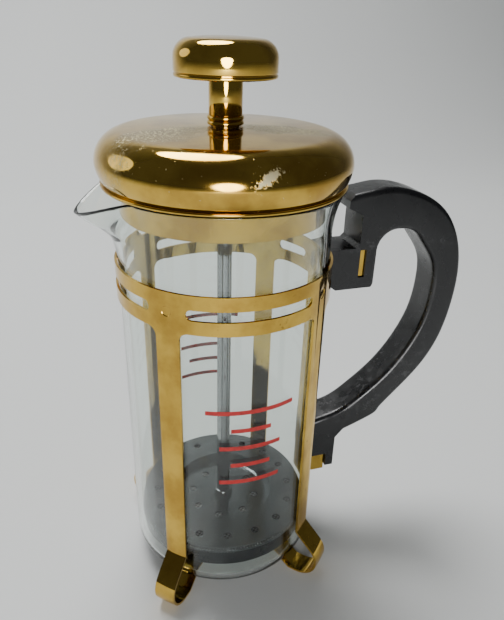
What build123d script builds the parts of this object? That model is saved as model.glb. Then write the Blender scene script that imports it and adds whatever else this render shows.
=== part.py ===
from build123d import *
import math
import os

# Small plunger coffee maker: a glass beaker in a pressed metal frame with a moulded handle,
# a domed lid and a plunger with a filter.  Millimetres, +Z up.  The origin lies on the
# beaker's axis in the plane that the feet stand on.  The handle points along +X, the spout
# along -X.

# ---- beaker -------------------------------------------------------------------------------
GLASS_R = 35.0            # outside radius
GLASS_WALL = 1.8
GLASS_BASE_Z = 6.2        # underside of the base above the table
GLASS_BASE = 2.4          # thickness of the base
GLASS_CORNER = 7.0        # outside radius of the base corner
GLASS_TOP_Z = 150.3       # highest point of the rim
FLARE_H = 18.3            # height of the flared part below the rim
RIM_FLARE = 3.0           # the rim stands out this much from the wall
SPOUT_ROOT = 4.0          # the spout starts this far inside the wall
SPOUT_LENGTH = 12.4       # spout tip beyond the wall
SPOUT_HALF_W = 14.5       # half width of the spout at its root
SPOUT_DEPTH = 17.0        # depth of the spout at its root
SPOUT_TIP = 0.6           # smallest half width, at the tip
SPOUT_TAPER = 0.6         # power law of the taper towards the tip
SPOUT_STEPS = (0.0, 0.25, 0.5, 0.75, 0.9, 1.0)
SPOUT_DROOP = 6.8         # the tip is this much below the rim

# ---- frame --------------------------------------------------------------------------------
SHEET = 0.8               # frame sheet
FRAME_GAP = 0.3           # beaker to frame
BAND_DROP = 36.5          # lower edge of the collar below the rim
BAND_H = 12.5
BAND_SLOT_H = 3.5
LEG_W = 8.0
LEG_ANGLE = 47.0          # legs from the handle plane, and from the spout plane
LEG_FILLET = 3.0          # between leg and collar
SLOT_FROM_LEG = 6.3       # slot end to leg centre line, along the collar
SLOT_FROM_HANDLE = 8.5    # slot end to handle plane, along the collar
DIMPLE_R = 1.7            # locating dimple on each leg
DIMPLE_DEPTH = 0.2
FOOT_SPREAD = 10.0        # outside of the foot curl beyond the beaker's wall
FOOT_CURL_R = 7.6         # inside radius of the curl
FOOT_OUT = 45.0           # slope of the outward bend, degrees
FOOT_FLAT = 3.0           # flat that the foot stands on
TAB_L = 6.0               # level part of the tab under the beaker
TAB_CLEAR = 1.0           # tab to the start of the base corner
FOOT_GAP = 0.3            # beaker base to tab
STRAP_W = 10.0            # strap that carries the lower end of the handle
STRAP_TAIL = 3.8          # strap below the bracket
SEAM_ANGLE = 20.0         # where the turned sheet closes, clear of screw, legs and strap

# ---- handle bracket -------------------------------------------------------------------------
BRACKET_Z = 27.8
BRACKET_H = 8.3
BRACKET_W = 11.0
BRACKET_DEPTH = 5.6       # outside of the pocket from the strap
FIT = 0.15                # slack between fitted pieces of one body

# ---- handle ---------------------------------------------------------------------------------
HANDLE_W = 13.5
HANDLE_EDGE = 2.0         # rounding of the long edges
HANDLE_STAND = 53.5       # outermost point beyond the collar
HANDLE_DROP = 3.9         # top of the handle below the rim
BLOCK_BELOW = 3.1         # clamp block below the collar
BLOCK_SHORT = 0.3         # clamp block ends this much below the collar's upper edge
BLOCK_T = 18.1            # clamp block, from the collar to its finger side
BLOCK_CHAMFER = 1.5       # lower edge on the finger side
BLOCK_NOSE = 2.7          # lower edge on the collar side
ARM_STEP = 10.5           # face of the upper arm beyond the collar
ARM_EASE = 1.4            # eased corner above the clamp block
ARM_LIP_STEP = 5.2        # tip of the upper arm beyond the collar
ARM_LIP_DROP = 9.9        # underside of that tip below the rim
ARM_LIP_H = 2.6           # upright end of that tip
ARM_LIP_CROWN = 2.2       # slope from the tip to the top
ARM_RISE = 0.16           # slope of the upper arm where it leaves the tip
ARM_FALL = 0.36           # slope of the lower arm's outside where it meets the lip
FINGER_STEP = 7.0         # height of the rounded corner over the clamp block
LIP_T = 3.5               # outer lip over the bracket
LIP_STEP = 2.4            # lower end of that lip above the bracket's foot
TONGUE_STEP = 0.6         # lower end of the tongue above the bracket's foot

# The grip's curves, as shares of the way from the collar to the outermost point and from the
# bracket's foot to the top.
GRIP_OUTSIDE = ((0.297, 1.0), (0.559, 0.988), (0.824, 0.919), (0.995, 0.761), (1.0, 0.6),
                (0.82, 0.376), (0.53, 0.229), (0.2, 0.153))
GRIP_HEEL = 0.137         # where the lip over the bracket becomes straight
GRIP_THROAT = 0.221       # where the tongue's inner face ends
GRIP_INSIDE = ((0.114, 0.234), (0.335, 0.289), (0.514, 0.359), (0.68, 0.46), (0.778, 0.565),
               (0.804, 0.67), (0.781, 0.748), (0.664, 0.829), (0.476, 0.874))

# ---- handle screw and nut ---------------------------------------------------------------------
SCREW_R = 2.0
SCREW_HEAD_R = 3.7
SCREW_HEAD_H = 1.7
SCREW_TAIL = 1.7          # screw beyond the nut
NUT_STEP = 11.2           # nut beyond the collar
NUT_T = 2.0
NUT_H = 10.0
NUT_W = 12.0

# ---- lid ----------------------------------------------------------------------------------------
LID_SHEET = 0.8
LID_GAP = 0.2             # lid flange to rim
LID_OVERHANG = 1.8        # widest point of the dome beyond the rim
LID_WIDE_H = 7.1          # height of the widest point above the rim
LID_SHOULDER = 8.8        # radius of the dome's shoulder
LID_TOP_DROP = 1.4        # fall of the top from neck to shoulder
LID_CURL = 10.0           # radius of the inward curl at the lower edge
SKIRT_GAP = 0.6           # skirt to the beaker's inside
SKIRT_DEPTH = 9.0         # below the flange
FLANGE_OVERHANG = 0.6     # flange beyond the rim

# ---- neck -----------------------------------------------------------------------------------------
NECK_WALL = 2.6           # from the rod's radius to the neck's
NECK_H = 13.1             # above the dome
FERRULE_STEP = 0.5        # ferrule beyond the neck
FERRULE_H = 2.8
FERRULE_ROUND = 0.6
FERRULE_GROOVE = 0.25     # groove between the ferrule's two beads
SPIGOT_STEP = 0.9         # threaded lower end, smaller than the neck
SPACER_WALL = 1.4
BUSH_WALL = 1.0
BUSH_L = 9.0
RUNNING_GAP = 0.06        # rod to bush, radially
BORE_GAP = 0.24           # rod to the neck's bore, radially
LID_NUT_WALL = 2.3
LID_NUT_H = 3.0
LID_WASHER_W = 3.8
LID_WASHER_T = 0.8

# ---- knob -----------------------------------------------------------------------------------------
KNOB_R = 15.4
KNOB_H = 11.0
KNOB_GAP = 0.3            # knob to neck when pressed down
KNOB_SHELL = 0.8
KNOB_SHOULDER = 4.6
KNOB_CROWN = 1.0          # rise of the top over its edge
CROWN_START = 0.2         # slope of the crown where it leaves the shoulder
KNOB_LIP = 0.5            # seam lip under the side
KNOB_BASE_T = 1.6
INSERT_WALL = 3.5

# ---- plunger and filter ------------------------------------------------------------------------------
ROD_R = 2.5
ROD_IN_KNOB = 7.0
ROD_TAIL = 1.35           # rod below the filter's nut
ROD_CHAMFER = 0.5
PRESSED_H = 16.4          # top of the filter above the beaker's floor, pressed down
PLATE_T = 0.6
PLATE_EDGE = 0.8          # plate's edge inside the spring's outside
PLATE_RING_W = 12.5       # flat outer ring of the plate
PLATE_RECESS = 3.6
PLATE_HOLE_R = 1.5
OUTER_HOLES = 16
OUTER_HOLE_STEP = 5.4     # outer holes from the plate's edge
INNER_HOLES = 8
INNER_HOLE_STEP = 7.0     # inner holes from the step
COIL_R = 1.0              # radius of the spring's turns
COIL_GAP = 0.3            # spring to the beaker's inside
SCREEN_T = 0.35
SCREEN_EDGE = 1.5         # screen's edge inside the spring's outside
CROSS_T = 0.7
CROSS_EDGE = 0.6          # bottom plate's edge inside the spring's outside
CROSS_RING_W = 4.3
CROSS_RIM_DROP = 2.9      # rim below the bottom plate
CROSS_RIB = 7.0
CROSS_HUB_W = 7.0
COLLAR_W = 1.1
COLLAR_H = 2.6
FILTER_NUT_WALL = 3.0
FILTER_NUT_H = 4.2

# ---- worked out --------------------------------------------------------------------------------------
BOSS_ALIGN = (Align.CENTER, Align.CENTER, Align.MIN)
GLASS_IN = GLASS_R - GLASS_WALL
FLARE_Z = GLASS_TOP_Z - FLARE_H
RIM_R = GLASS_R + RIM_FLARE
SPOUT_ROOT_X = GLASS_R - SPOUT_ROOT
SPOUT_REACH = GLASS_R + SPOUT_LENGTH

BAND_IN = GLASS_R + FRAME_GAP
BAND_OUT = BAND_IN + SHEET
BAND_Z = GLASS_TOP_Z - BAND_DROP
BAND_TOP_Z = BAND_Z + BAND_H
SCREW_Z = BAND_Z + BAND_H / 2
LEG_ANGLES = (LEG_ANGLE, 180 - LEG_ANGLE, 180 + LEG_ANGLE, 360 - LEG_ANGLE)
FOOT_REACH = GLASS_R + FOOT_SPREAD
TAB_RISE_R = GLASS_R - GLASS_CORNER - TAB_CLEAR
TAB_END_R = TAB_RISE_R - TAB_L
STRAP_END_Z = BRACKET_Z - STRAP_TAIL
BRACKET_REACH = BAND_OUT + BRACKET_DEPTH

HANDLE_TOP_Z = GLASS_TOP_Z - HANDLE_DROP
BLOCK_FOOT_Z = BAND_Z - BLOCK_BELOW
BLOCK_TOP_Z = BAND_TOP_Z - BLOCK_SHORT
BLOCK_BACK_X = BAND_OUT + BLOCK_T
ARM_FACE_X = BAND_OUT + ARM_STEP
ARM_LIP_X = BAND_OUT + ARM_LIP_STEP
ARM_LIP_Z = GLASS_TOP_Z - ARM_LIP_DROP
NUT_X = BAND_OUT + NUT_STEP
SCREW_TIP_X = NUT_X + NUT_T + SCREW_TAIL

LID_R = RIM_R + LID_OVERHANG
LID_WIDE_Z = GLASS_TOP_Z + LID_WIDE_H
FLANGE_R = RIM_R + FLANGE_OVERHANG
FLANGE_Z = GLASS_TOP_Z + LID_GAP
SKIRT_R = GLASS_IN - SKIRT_GAP
DOME_FOOT_Z = FLANGE_Z + LID_SHEET
DOME_SHOULDER_Z = LID_WIDE_Z + LID_SHOULDER
DOME_TOP_Z = DOME_SHOULDER_Z + LID_TOP_DROP

NECK_R = ROD_R + NECK_WALL
NECK_TOP_Z = DOME_TOP_Z + NECK_H
FERRULE_R = NECK_R + FERRULE_STEP
FERRULE_TOP_Z = DOME_TOP_Z + FERRULE_H
SPIGOT_R = NECK_R - SPIGOT_STEP
SPIGOT_Z = FLANGE_Z - LID_WASHER_T - LID_NUT_H - LID_SHEET
SPACER_R = SPIGOT_R + FIT + SPACER_WALL
SPACER_TOP_Z = DOME_TOP_Z - LID_SHEET - LID_TOP_DROP * SPACER_R / (LID_R - LID_SHOULDER)
BUSH_R = ROD_R + RUNNING_GAP + BUSH_WALL
LID_NUT_AF = 2 * (SPIGOT_R + LID_NUT_WALL)
LID_WASHER_R = SPIGOT_R + LID_WASHER_W

KNOB_Z = NECK_TOP_Z + KNOB_GAP
INSERT_R = ROD_R + INSERT_WALL

PLATE_Z = GLASS_BASE_Z + GLASS_BASE + PRESSED_H
RECESS_Z = PLATE_Z - PLATE_RECESS
SCREEN_Z = RECESS_Z - PLATE_T - SCREEN_T
CROSS_Z = SCREEN_Z - CROSS_T
ROD_FOOT_Z = CROSS_Z - FILTER_NUT_H - ROD_TAIL
COIL_OUTER_R = GLASS_IN - COIL_GAP
PLATE_R = COIL_OUTER_R - PLATE_EDGE
PLATE_STEP_R = PLATE_R - PLATE_RING_W
OUTER_HOLE_RING_R = PLATE_R - OUTER_HOLE_STEP
INNER_HOLE_RING_R = PLATE_STEP_R - INNER_HOLE_STEP
SCREEN_R = COIL_OUTER_R - SCREEN_EDGE
CROSS_R = COIL_OUTER_R - CROSS_EDGE
RIM_TOP_Z = PLATE_Z - PLATE_T - 2 * COIL_R
CROSS_RING_R = CROSS_R - CROSS_RING_W
CROSS_HUB_R = ROD_R + CROSS_HUB_W
COLLAR_R = ROD_R + COLLAR_W
FILTER_NUT_AF = 2 * (ROD_R + FILTER_NUT_WALL)


def drum(radius, z, height):
    """Solid cylinder on the axis, standing on z."""
    return Pos(0, 0, z) * Cylinder(radius, height, align=BOSS_ALIGN)


def ring(inner, outer, z, height):
    """Ring on the axis, standing on z."""
    return drum(outer, z, height) - drum(inner, z, height)


def lathe(outline):
    """Turn a closed outline of (radius, height) about the axis."""
    return revolve(Plane.XZ * make_face(outline), Axis.Z, 360)


def block(x0, x1, half_w, z0, z1):
    """Box from x0 to x1 and z0 to z1, centred on the handle plane."""
    return Pos((x0 + x1) / 2, 0, (z0 + z1) / 2) * Box(x1 - x0, 2 * half_w, z1 - z0)


def radial_drum(radius, x0, x1, z):
    """Cylinder along +X from x0 to x1 at height z."""
    return Pos(x0, 0, z) * Rot(0, 90, 0) * Cylinder(radius, x1 - x0, align=BOSS_ALIGN)


def radial_cone(r0, r1, x0, x1, z):
    """Cone along +X, radius r0 at x0 and r1 at x1."""
    return Pos(x0, 0, z) * Rot(0, 90, 0) * Cone(r0, r1, x1 - x0, align=BOSS_ALIGN)


def polar(angle):
    """Turn about the axis."""
    return Rot(0, 0, angle)


# ---- beaker ----------------------------------------------------------------------------------------

def beaker_fill(inset, base_z, corner):
    """Filled shape of the beaker, inset from the outside by one wall or none."""
    r = GLASS_R - inset
    rim = RIM_R - inset
    walls = Line((0, base_z), (r - corner, base_z))
    walls += ThreePointArc((r - corner, base_z),
                           (r - corner * (1 - math.sin(math.pi / 4)),
                            base_z + corner * (1 - math.cos(math.pi / 4))),
                           (r, base_z + corner))
    walls += Line((r, base_z + corner), (r, FLARE_Z))
    walls += TangentArc((r, FLARE_Z), (rim, GLASS_TOP_Z), tangent=(0, 1))
    walls += Polyline((rim, GLASS_TOP_Z), (0, GLASS_TOP_Z), (0, base_z))
    return lathe(walls)


def spout_fill(inset):
    """Filled spout: upright ellipses that shrink towards the tip, blended along -X."""
    sections = []
    for step in SPOUT_STEPS:
        taper = (1 - step) ** SPOUT_TAPER
        half_w = max(SPOUT_HALF_W * taper - inset, SPOUT_TIP)
        depth = max(SPOUT_DEPTH * taper - inset, SPOUT_TIP)
        x = SPOUT_ROOT_X + step * (SPOUT_REACH - inset - SPOUT_ROOT_X)
        z = GLASS_TOP_Z - step * SPOUT_DROOP
        sections.append(Plane((-x, 0, z), x_dir=(0, 1, 0), z_dir=(-1, 0, 0)) * Ellipse(half_w, depth))
    return loft(sections)


def glass_beaker():
    outside = beaker_fill(0, GLASS_BASE_Z, GLASS_CORNER) + spout_fill(0)
    inside = beaker_fill(GLASS_WALL, GLASS_BASE_Z + GLASS_BASE, GLASS_CORNER - GLASS_WALL)
    inside += spout_fill(GLASS_WALL)
    beaker = outside - inside
    slope = math.degrees(math.atan2(SPOUT_DROOP, SPOUT_REACH - SPOUT_ROOT_X))
    side = 2 * SPOUT_REACH
    beaker -= Pos(0, 0, GLASS_TOP_Z) * Box(side, side, side, align=BOSS_ALIGN)
    cutter = Box(side, side, side, align=(Align.MAX, Align.CENTER, Align.MIN))
    return beaker - Pos(-SPOUT_ROOT_X, 0, GLASS_TOP_Z) * Rot(0, -slope, 0) * cutter


# ---- frame -------------------------------------------------------------------------------------------

def slot_cutter(start, end):
    """Round-ended slot through the collar, from start to end in degrees."""
    half = BAND_SLOT_H / 2
    inset = math.degrees(half / BAND_OUT)
    span = end - start - 2 * inset
    outline = Pos((BAND_IN + BAND_OUT) / 2, SCREW_Z) * Rectangle(4 * SHEET, BAND_SLOT_H)
    cut = polar(start + inset) * revolve(Plane.XZ * outline, Axis.Z, span)
    for angle in (start + inset, end - inset):
        cut += polar(angle) * radial_drum(half, BAND_IN - SHEET, BAND_OUT + SHEET, SCREW_Z)
    return cut


def slot_spans():
    """Start and end of every slot: three whole ones, and two short ones beside the handle."""
    clear = math.degrees(SLOT_FROM_LEG / BAND_OUT)
    handle = math.degrees(SLOT_FROM_HANDLE / BAND_OUT)
    first, second, third, fourth = LEG_ANGLES
    whole = [(first, second), (second, third), (third, fourth)]
    spans = [(low + clear, high - clear) for low, high in whole]
    spans.append((handle, first - clear))
    spans.append((fourth + clear, 360 - handle))
    return spans


def foot_outline():
    """Side outline of collar, leg and foot, (radius, height), along the middle of the sheet."""
    lean = math.radians(FOOT_OUT)
    mid = BAND_IN + SHEET / 2
    curl = FOOT_CURL_R + SHEET / 2
    centre_r = FOOT_REACH - SHEET / 2 - curl
    centre_z = SHEET / 2 + curl
    bend = (centre_r + curl * math.sin(lean), centre_z + curl * math.cos(lean))
    tab_z = GLASS_BASE_Z - FOOT_GAP - SHEET / 2
    path = Polyline((mid, BAND_TOP_Z), (mid, bend[1] + (bend[0] - mid) / math.tan(lean)),
                    bend)
    path += ThreePointArc(bend, (centre_r + curl, centre_z), (centre_r, SHEET / 2))
    path += Polyline((centre_r, SHEET / 2), (centre_r - FOOT_FLAT, SHEET / 2),
                     (TAB_RISE_R, tab_z), (TAB_END_R, tab_z))
    return path


def leg_front():
    """Front outline of one leg under its part of the collar, as a long block along +X."""
    half = LEG_W / 2
    wide = half + LEG_FILLET
    low = BAND_Z - LEG_FILLET
    top = BAND_TOP_Z
    nook = LEG_FILLET * (1 - math.sin(math.pi / 4))
    side = Polyline((half, -SHEET), (half, low))
    side += ThreePointArc((half, low), (half + nook, BAND_Z - nook), (wide, BAND_Z))
    side += Polyline((wide, BAND_Z), (GLASS_R, BAND_Z), (GLASS_R, top), (0, top))
    front = side + mirror(side, Plane.YZ)
    front += Line((-half, -SHEET), (half, -SHEET))
    return extrude(Plane.YZ * make_face(front), amount=FOOT_REACH + SHEET)


def frame_front():
    """Front outlines of the four legs and the strap, as long blocks from the axis."""
    fronts = block(0, FOOT_REACH, STRAP_W / 2, STRAP_END_Z, BAND_TOP_Z)
    for angle in LEG_ANGLES:
        fronts += polar(angle) * leg_front()
    return fronts


def turned_sheet():
    """Collar, legs and feet before the legs are cut apart: one turned sheet."""
    wire = Wire(foot_outline().edges())
    strip = make_face(offset(wire, SHEET / 2, kind=Kind.INTERSECTION, side=Side.BOTH).edges())
    return polar(SEAM_ANGLE) * revolve(Plane.XZ * strip, Axis.Z, 360)


def leg_dimple():
    """Shallow round pit on the outside of one leg at the collar's mid height."""
    return radial_cone(DIMPLE_R - DIMPLE_DEPTH, DIMPLE_R + SHEET, BAND_OUT - DIMPLE_DEPTH,
                       BAND_OUT + SHEET, SCREW_Z)


def screw_dimple(slack):
    """Cone that the collar is pressed into round the handle screw's head."""
    flare = SCREW_HEAD_R + SHEET + slack
    run = SCREW_HEAD_H + SHEET / 2 + slack
    return radial_cone(flare + SHEET, flare + SHEET - run, BAND_IN - SHEET / 2,
                       BAND_IN - SHEET / 2 + run, SCREW_Z)


def screw_head(slack, stand_in):
    """Countersunk head, its wide end the given distance inside the collar."""
    return radial_cone(SCREW_HEAD_R + slack + stand_in, SCREW_R + slack, BAND_IN - stand_in,
                       BAND_IN + SCREW_HEAD_H, SCREW_Z)


def frame():
    sheet = turned_sheet() & frame_front()
    for start, end in slot_spans():
        sheet -= slot_cutter(start, end)
    for angle in LEG_ANGLES:
        sheet -= polar(angle) * leg_dimple()
    sheet += screw_dimple(0) - drum(BAND_IN, 0, GLASS_TOP_Z)
    sheet -= screw_head(FIT, SHEET)
    return sheet - radial_drum(SCREW_R + FIT, BAND_IN - SHEET, SCREW_TIP_X, SCREW_Z)


def handle_bracket():
    """Three-sided pocket, open at the top and foot, welded to the strap."""
    half = BRACKET_W / 2
    top = BRACKET_Z + BRACKET_H
    pocket = block(BAND_IN, BRACKET_REACH, half, BRACKET_Z, top)
    pocket -= block(0, BRACKET_REACH - SHEET, half - SHEET, BRACKET_Z, top)
    return pocket - drum(BAND_OUT, BRACKET_Z, BRACKET_H)


# ---- handle ------------------------------------------------------------------------------------------

def grip_point(share_out, share_up):
    """Point between collar and outermost point, and between bracket foot and handle top."""
    return (BAND_OUT + share_out * HANDLE_STAND,
            BRACKET_Z + share_up * (HANDLE_TOP_Z - BRACKET_Z))


def bracket_end(lip_top, heel, throat, end):
    """Lower end of the handle, from the lip's top over the bracket to the tongue's throat."""
    lip_in = BRACKET_REACH + FIT
    tongue_out = BRACKET_REACH - SHEET - FIT
    lip_z = BRACKET_Z + LIP_STEP
    tongue_z = BRACKET_Z + TONGUE_STEP
    pocket_z = BRACKET_Z + BRACKET_H + FIT
    return Polyline(lip_top, heel, (heel[0], lip_z), (lip_in, lip_z), (lip_in, pocket_z),
                    (tongue_out, pocket_z), (tongue_out, tongue_z), (BAND_IN, tongue_z),
                    throat, end)


def clamp_end(start, top):
    """Clamp block at the collar and the upper arm's tip over it."""
    nose_x = BAND_OUT + BLOCK_NOSE
    return Polyline(start, (BLOCK_BACK_X, BLOCK_FOOT_Z + BLOCK_CHAMFER),
                    (BLOCK_BACK_X - BLOCK_CHAMFER, BLOCK_FOOT_Z), (nose_x, BLOCK_FOOT_Z),
                    (BAND_IN, BLOCK_FOOT_Z + BLOCK_NOSE), (BAND_IN, BLOCK_TOP_Z),
                    (ARM_FACE_X - ARM_EASE, BLOCK_TOP_Z), (ARM_FACE_X, BLOCK_TOP_Z + ARM_EASE),
                    (ARM_FACE_X, ARM_LIP_Z - ARM_LIP_H), (ARM_LIP_X, ARM_LIP_Z),
                    (ARM_LIP_X, ARM_LIP_Z + ARM_LIP_H),
                    (ARM_LIP_X + ARM_LIP_CROWN, HANDLE_TOP_Z - ARM_EASE), top)


def handle_outline():
    """Side outline of the handle, (distance from the axis, height)."""
    outer = [grip_point(*share) for share in GRIP_OUTSIDE]
    inner = [grip_point(*share) for share in GRIP_INSIDE]
    heel = (BRACKET_REACH + LIP_T, grip_point(0, GRIP_HEEL)[1])
    throat = (BAND_IN, grip_point(0, GRIP_THROAT)[1])
    corner = (BLOCK_BACK_X, inner[-1][1] - FINGER_STEP)
    throat_run = (inner[0][0] - throat[0], inner[0][1] - throat[1])
    outline = Spline(*outer, tangents=[(1, ARM_RISE), (-1, -ARM_FALL)])
    outline += bracket_end(outer[-1], heel, throat, inner[0])
    outline += Spline(*inner, tangents=[throat_run, (-1, 0)])
    outline += TangentArc(inner[-1], corner, tangent=(-1, 0))
    return outline + clamp_end(corner, outer[0])


def handle():
    body = extrude(Plane.XZ * make_face(handle_outline()), amount=HANDLE_W / 2, both=True)
    body = fillet(body.edges().filter_by(GeomType.BSPLINE), HANDLE_EDGE)
    body -= drum(BAND_OUT + FIT, 0, HANDLE_TOP_Z)
    body -= screw_dimple(FIT)
    body -= radial_drum(SCREW_R + FIT, BAND_IN, SCREW_TIP_X + FIT, SCREW_Z)
    nut_half = NUT_H / 2 + FIT
    slot = block(NUT_X - FIT, NUT_X + NUT_T + FIT, NUT_W / 2 + FIT,
                 SCREW_Z - nut_half, SCREW_Z + nut_half)
    slot += Pos(0, -HANDLE_W / 2, 0) * slot
    body -= slot
    cheek = BRACKET_W / 2 - SHEET - FIT
    foot_z = BRACKET_Z + TONGUE_STEP - FIT
    top_z = BRACKET_Z + BRACKET_H + FIT
    pocket = block(0, BRACKET_REACH + FIT, HANDLE_W, foot_z, top_z)
    pocket -= block(0, BRACKET_REACH + FIT, cheek, foot_z - SHEET, top_z + SHEET)
    return body - pocket


def handle_screw():
    shank = radial_drum(SCREW_R, BAND_IN + SCREW_HEAD_H, SCREW_TIP_X, SCREW_Z)
    cross = block(BAND_IN, BAND_IN + SCREW_HEAD_H / 2, SCREW_HEAD_R / 2, SCREW_Z - FIT * 2,
                  SCREW_Z + FIT * 2)
    turned = Pos(0, 0, SCREW_Z) * Rot(90, 0, 0) * Pos(0, 0, -SCREW_Z) * cross
    return screw_head(0, 0) + shank - cross - turned


def handle_nut():
    nut_half = NUT_H / 2
    plate = block(NUT_X, NUT_X + NUT_T, NUT_W / 2, SCREW_Z - nut_half, SCREW_Z + nut_half)
    return plate - radial_drum(SCREW_R, NUT_X, NUT_X + NUT_T, SCREW_Z)


# ---- lid -----------------------------------------------------------------------------------------------

def arc_point(centre_r, centre_z, radius, angle):
    """Point on a circle in the (radius, height) plane, angle in radians above level."""
    return (centre_r + radius * math.cos(angle), centre_z + radius * math.sin(angle))


def dome_fill(inset):
    """Filled pillow shape of the lid, inset from its outside."""
    shoulder = LID_SHOULDER - inset
    curl = LID_CURL - inset
    centre_r = LID_R - LID_SHOULDER
    curl_r = LID_R - LID_CURL
    low = -math.asin((LID_WIDE_Z - DOME_FOOT_Z) / curl)
    foot = arc_point(curl_r, LID_WIDE_Z, curl, low)
    widest = (LID_R - inset, LID_WIDE_Z)
    brow = (centre_r, DOME_SHOULDER_Z - inset)
    outline = Line((0, DOME_FOOT_Z), foot)
    outline += ThreePointArc(foot, arc_point(curl_r, LID_WIDE_Z, curl, low / 2), widest)
    outline += ThreePointArc(widest, arc_point(centre_r, LID_WIDE_Z, shoulder, math.pi / 4), brow)
    outline += Polyline(brow, (0, DOME_TOP_Z - inset), (0, DOME_FOOT_Z))
    return lathe(outline)


def lid_dome():
    return dome_fill(0) - dome_fill(LID_SHEET) - drum(SPIGOT_R + FIT, DOME_FOOT_Z, LID_WIDE_Z)


def lid_skirt():
    """Flange on the beaker's rim, a closing plate and the skirt inside the beaker."""
    skirt = drum(FLANGE_R, FLANGE_Z, LID_SHEET)
    skirt += drum(SKIRT_R, FLANGE_Z - SKIRT_DEPTH, SKIRT_DEPTH)
    skirt -= drum(SKIRT_R - LID_SHEET, FLANGE_Z - SKIRT_DEPTH, SKIRT_DEPTH)
    return skirt - drum(SPIGOT_R + FIT, FLANGE_Z, LID_SHEET)


def lid_spacer():
    """Sleeve that keeps the dome from being crushed by the lid nut."""
    return ring(SPIGOT_R + FIT, SPACER_R, DOME_FOOT_Z, SPACER_TOP_Z - DOME_FOOT_Z)


def neck_tube():
    body = drum(NECK_R, FERRULE_TOP_Z, NECK_TOP_Z - FERRULE_TOP_Z)
    body += drum(SPIGOT_R, SPIGOT_Z, FERRULE_TOP_Z - SPIGOT_Z)
    body = chamfer(body.edges().group_by(Axis.Z)[0], LID_WASHER_T / 2)
    body -= drum(BUSH_R, NECK_TOP_Z - BUSH_L, BUSH_L)
    return body - drum(ROD_R + BORE_GAP, SPIGOT_Z, NECK_TOP_Z - SPIGOT_Z)


def neck_ferrule():
    """Ring of two rounded beads that the neck stands in on top of the dome."""
    bead_h = (FERRULE_H - FERRULE_GROOVE) / 2
    inside = SPIGOT_R + FIT
    foot = ring(inside, FERRULE_R, DOME_TOP_Z, bead_h)
    top = ring(inside, FERRULE_R, FERRULE_TOP_Z - bead_h, bead_h)
    beads = Part() + [rounded_ring(bead) for bead in (foot, top)]
    return beads + ring(inside, NECK_R, DOME_TOP_Z, FERRULE_H)


def rounded_ring(bead):
    """Ring with both outer edges rounded."""
    outer_edges = bead.edges().filter_by(GeomType.CIRCLE).group_by(SortBy.RADIUS)[-1]
    return fillet(outer_edges, FERRULE_ROUND)


def guide_bush():
    return ring(ROD_R + RUNNING_GAP, BUSH_R, NECK_TOP_Z - BUSH_L, BUSH_L)


def hex_nut(across, bore, z, height):
    prism = extrude(Pos(0, 0, z) * RegularPolygon(across / 2, 6, major_radius=False), height)
    return prism - drum(bore, z, height)


def lid_washer():
    return ring(SPIGOT_R + FIT, LID_WASHER_R, FLANGE_Z - LID_WASHER_T, LID_WASHER_T)


def lid_nut():
    return hex_nut(LID_NUT_AF, SPIGOT_R, FLANGE_Z - LID_WASHER_T - LID_NUT_H, LID_NUT_H)


# ---- knob ------------------------------------------------------------------------------------------------

def knob_fill(inset):
    """Filled knob: straight side, large shoulder and a crowned top."""
    radius = KNOB_R - inset
    shoulder = KNOB_SHOULDER - inset
    centre_r = KNOB_R - KNOB_SHOULDER
    shoulder_z = KNOB_Z + KNOB_H - KNOB_CROWN - KNOB_SHOULDER
    brow = (centre_r, shoulder_z + shoulder)
    outline = Polyline((0, KNOB_Z), (radius, KNOB_Z), (radius, shoulder_z))
    outline += ThreePointArc((radius, shoulder_z),
                             arc_point(centre_r, shoulder_z, shoulder, math.pi / 4), brow)
    outline += Spline(brow, (0, brow[1] + KNOB_CROWN), tangents=[(-1, CROWN_START), (-1, 0)])
    outline += Line((0, brow[1] + KNOB_CROWN), (0, KNOB_Z))
    return lathe(outline)


def knob_cap():
    """Pressed shell, with a groove above its rolled lower lip."""
    shell = knob_fill(0) - knob_fill(KNOB_SHELL)
    groove_z = KNOB_Z + 2 * KNOB_LIP
    return shell - ring(KNOB_R - KNOB_LIP / 2, KNOB_R + KNOB_LIP, groove_z, KNOB_LIP / 2)


def knob_base():
    """Disc that closes the shell from below."""
    return ring(ROD_R + FIT, KNOB_R - KNOB_SHELL, KNOB_Z, KNOB_BASE_T)


def knob_insert():
    """Threaded core that the rod screws into, standing on the base disc."""
    return ring(ROD_R, INSERT_R, KNOB_Z + KNOB_BASE_T, ROD_IN_KNOB - KNOB_BASE_T)


# ---- plunger ---------------------------------------------------------------------------------------------

def plunger_rod():
    rod = drum(ROD_R, ROD_FOOT_Z, KNOB_Z + ROD_IN_KNOB - ROD_FOOT_Z)
    return chamfer(rod.edges().group_by(Axis.Z)[0], ROD_CHAMFER)


def rod_collar():
    """Stop ring on the rod, on top of the perforated plate."""
    return ring(ROD_R, COLLAR_R, RECESS_Z, COLLAR_H)


def hole_ring(count, pitch_r, radius):
    """Drills for a ring of holes through the whole filter plate."""
    drills = Part()
    for index in range(count):
        angle = (index + 0.5) * 360 / count
        drills += polar(angle) * Pos(pitch_r, 0, 0) * drum(radius, RECESS_Z - 2 * PLATE_T,
                                                           PLATE_RECESS + 4 * PLATE_T)
    return drills


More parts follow.
